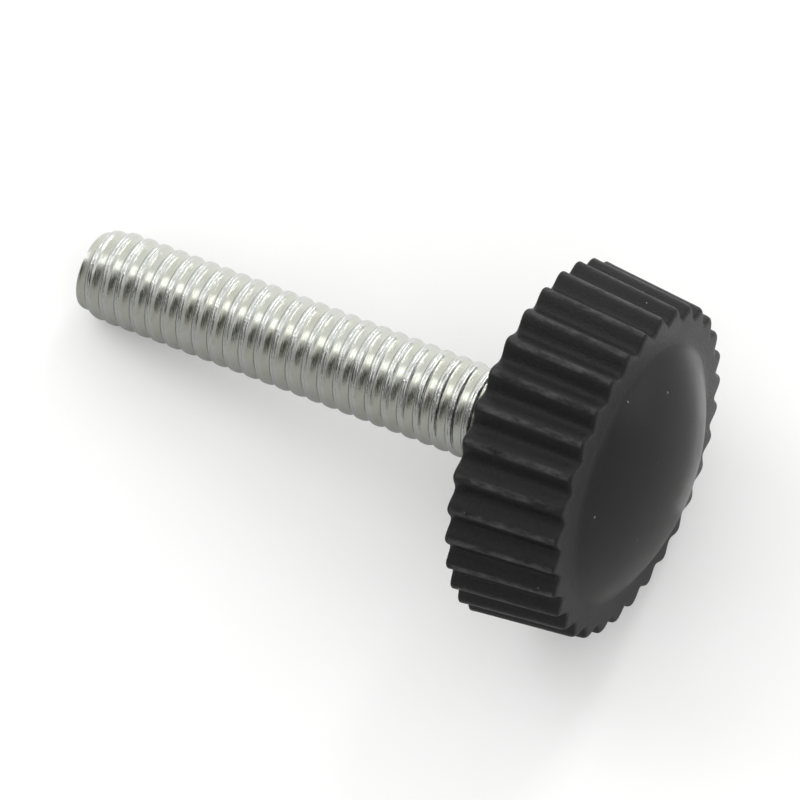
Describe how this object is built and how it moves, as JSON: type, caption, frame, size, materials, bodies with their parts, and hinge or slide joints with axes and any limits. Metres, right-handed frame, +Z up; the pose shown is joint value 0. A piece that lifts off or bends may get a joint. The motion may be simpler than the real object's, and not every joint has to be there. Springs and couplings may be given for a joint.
{
  "type": "thumb screw",
  "caption": "Thumb screw: a bright threaded steel stud moulded into a black ribbed plastic knob with a low dome, for tightening by hand.",
  "frame": {"origin": "centre of the bounding box at floor level, with the screw lying on its side on two ribs of the knob and the thread behind the tip", "axes": "+X along the screw from the tip towards the dome, +Z up; the screw's own axis rises towards the dome by about 15 degrees"},
  "size_m": [0.0288, 0.016, 0.0161],
  "materials": {
    "zinc_steel": "bright zinc plate over rolled steel, with a faint yellow-green cast",
    "black_plastic": "moulded, fine matt texture on the ribs and the ring, smoother on the dome"
  },
  "bodies": {
    "root": {"threaded_stud": "zinc_steel", "knob": "black_plastic"}
  },
  "joints": []
}
